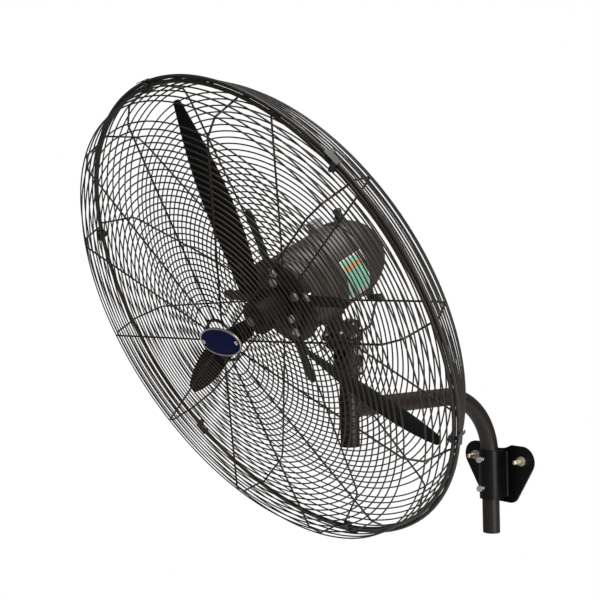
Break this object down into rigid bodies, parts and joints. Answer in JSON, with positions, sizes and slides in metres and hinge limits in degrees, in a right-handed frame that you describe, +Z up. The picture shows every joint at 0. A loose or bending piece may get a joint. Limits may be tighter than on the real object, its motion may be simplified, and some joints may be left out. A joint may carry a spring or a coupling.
{
  "type": "wall mounted fan",
  "caption": "Industrial wall mounted fan: wire guard, slim blades, tilting and oscillating motor head on a bent tube arm held in a wall bracket's clamp.",
  "frame": {"origin": "on the wall, halfway between the two wall anchors, at the wall plate's back face", "axes": "+Z up, +Y into the wall, the fan blows towards -Y and down"},
  "size_m": [0.7736, 0.792, 0.7659],
  "materials": {
    "bracket_paint": "gloss black paint",
    "zinc": "bright zinc plate",
    "yellow_zinc": "yellow passivated zinc",
    "tube_paint": "satin brown-black paint",
    "cast_paint": "painted casting, satin black",
    "motor_paint": "satin dark grey enamel",
    "guard_wire": "black coated wire",
    "guard_strap": "black coated strip",
    "blade_paint": "satin black",
    "hub_metal": "cast aluminium, dark",
    "steel": "turned steel",
    "lamination": "stacked sheet steel",
    "winding": "enamelled copper wire",
    "gear": "machined",
    "black_steel": "black oxide",
    "block_plastic": "moulded, matt black",
    "box_grey": "moulded, grey",
    "badge_face": "printed blue, champagne edge",
    "label": "printed film, mint green"
  },
  "bodies": {
    "wall_bracket": {"wall_plate": "bracket_paint", "u_clamp": "bracket_paint", "clamp_set_screws": "zinc", "anchor_studs": "yellow_zinc", "anchor_sleeves": "yellow_zinc", "anchor_washers": "yellow_zinc", "anchor_nuts": "yellow_zinc"},
    "arm": {"arm_tube": "tube_paint", "neck_tube": "tube_paint", "neck_fork": "cast_paint", "fork_set_screw": "zinc", "tilt_bolt": "zinc", "tilt_nut": "zinc", "tilt_washers": "zinc"},
    "tilt_base": {"swivel_base": "cast_paint", "pivot_pin": "steel", "link_anchor_screw": "zinc"},
    "head": {"motor_pedestal": "cast_paint", "front_endshield": "motor_paint", "motor_shell": "motor_paint", "rear_endshield": "motor_paint", "rear_cover": "motor_paint", "stator": "lamination", "windings": "winding", "bearings": "steel", "tie_bolts": "zinc", "rating_plate": "label", "terminal_box": "box_grey", "terminal_lid": "box_grey", "lid_screws": "zinc", "cable_gland": "block_plastic", "front_guard": "guard_wire", "front_guard_wall": "guard_wire", "rear_guard": "guard_wire", "rear_guard_wall": "guard_wire", "guard_cross": "guard_strap", "guard_screws": "zinc", "rim_clips": "guard_strap", "clip_blocks": "block_plastic", "clip_screws": "black_steel", "clip_nuts": "black_steel", "badge": "badge_face", "badge_rivets": "zinc"},
    "rotor": {"motor_shaft": "steel", "rotor_core": "lamination", "hub": "hub_metal", "hub_nut": "hub_metal", "blade_1": "blade_paint", "blade_2": "blade_paint", "blade_3": "blade_paint", "blade_rivets": "hub_metal"},
    "crank_drive": {"crank": "steel", "crank_clip": "zinc", "worm_wheel": "gear"},
    "link": {"link_rod": "black_steel"},
    "knob": {"oscillation_knob": "block_plastic"}
  },
  "joints": [
    {"name": "arm_swivel", "type": "hinge", "parent": "wall_bracket", "child": "arm", "pos_m": [0, -0.0275, 0], "axis": [0, 0, 1], "range_deg": [-60, 60]},
    {"name": "head_tilt", "type": "hinge", "parent": "arm", "child": "tilt_base", "pos_m": [0, -0.3749, 0.225], "axis": [1, 0, 0], "range_deg": [-40, 0]},
    {"name": "oscillation", "type": "hinge", "parent": "tilt_base", "child": "head", "pos_m": [0, -0.38976, 0.25447], "axis": [0, -0.4503, 0.8929], "range_deg": [-35, 35]},
    {"name": "rotor_spin", "type": "hinge", "parent": "head", "child": "rotor", "pos_m": [0, -0.56783, 0.27667], "axis": [0, -0.8929, -0.4503], "continuous": true},
    {"name": "crank_turn", "type": "hinge", "parent": "head", "child": "crank_drive", "pos_m": [0.015, -0.32458, 0.28733], "axis": [0, -0.4503, 0.8929], "range_deg": [-52.5, 52.5]},
    {"name": "link_swing", "type": "hinge", "parent": "crank_drive", "child": "link", "pos_m": [0.0338, -0.32097, 0.28019], "axis": [0, -0.4503, 0.8929], "range_deg": [-52.5, 52.5]},
    {"name": "knob_lift", "type": "slide", "parent": "head", "child": "knob", "axis": [0, -0.4503, 0.8929], "range_m": [0, 0.008]}
  ],
  "couplings": [
    {"joint": "crank_turn", "follows": "oscillation", "ratio": -1.5},
    {"joint": "link_swing", "follows": "oscillation", "ratio": 1.5}
  ]
}
